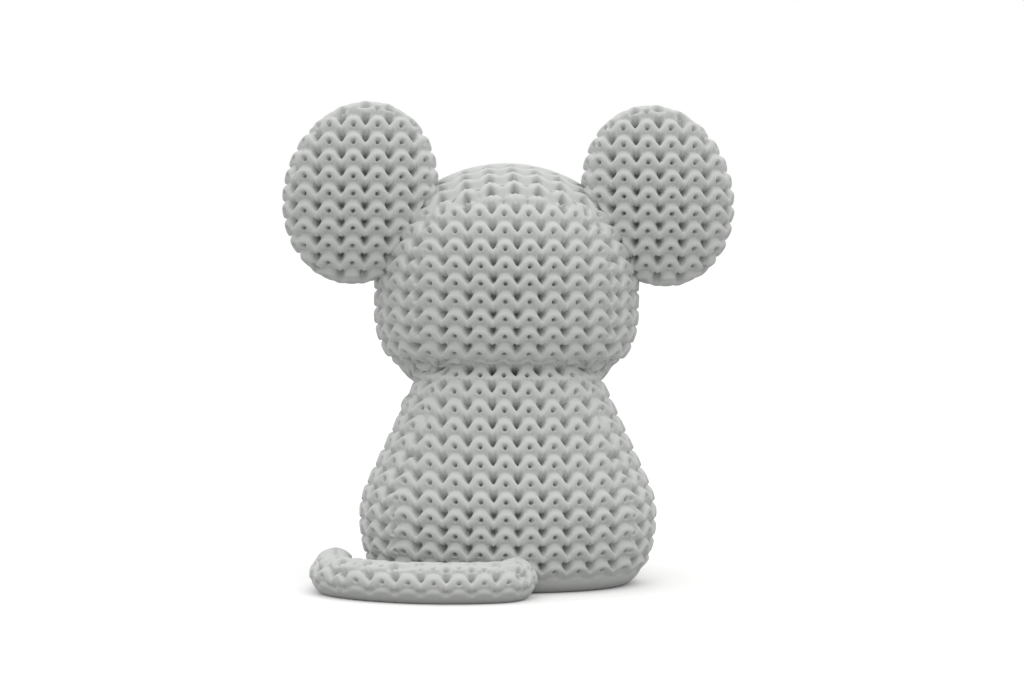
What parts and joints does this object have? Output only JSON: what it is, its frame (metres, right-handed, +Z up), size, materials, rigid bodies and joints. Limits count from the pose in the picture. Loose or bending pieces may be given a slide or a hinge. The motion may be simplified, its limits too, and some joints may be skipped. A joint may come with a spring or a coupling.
{
  "type": "mouse figurine",
  "caption": "Sitting mouse ornament with a pear body, round head, large round ears and a curled tail, on a flat base.",
  "frame": {"origin": "on the ground, on the upright axis of the body, at the centre of the flat base", "axes": "+Z up, the mouse faces -Y, +X is the mouse's left side, where the tail lies"},
  "size_m": [0.0732, 0.0666, 0.078],
  "materials": {
    "grey_print": "matte printed plastic, pale grey",
    "smooth_bead": "smooth satin printed plastic, pale grey"
  },
  "bodies": {
    "root": {"body": "grey_print", "head": "grey_print", "left_ear": "grey_print", "right_ear": "grey_print", "tail": "grey_print", "left_arm": "grey_print", "right_arm": "grey_print", "left_foot": "grey_print", "right_foot": "grey_print", "muzzle": "grey_print", "nose": "smooth_bead", "left_eye": "smooth_bead", "right_eye": "smooth_bead"}
  },
  "joints": []
}
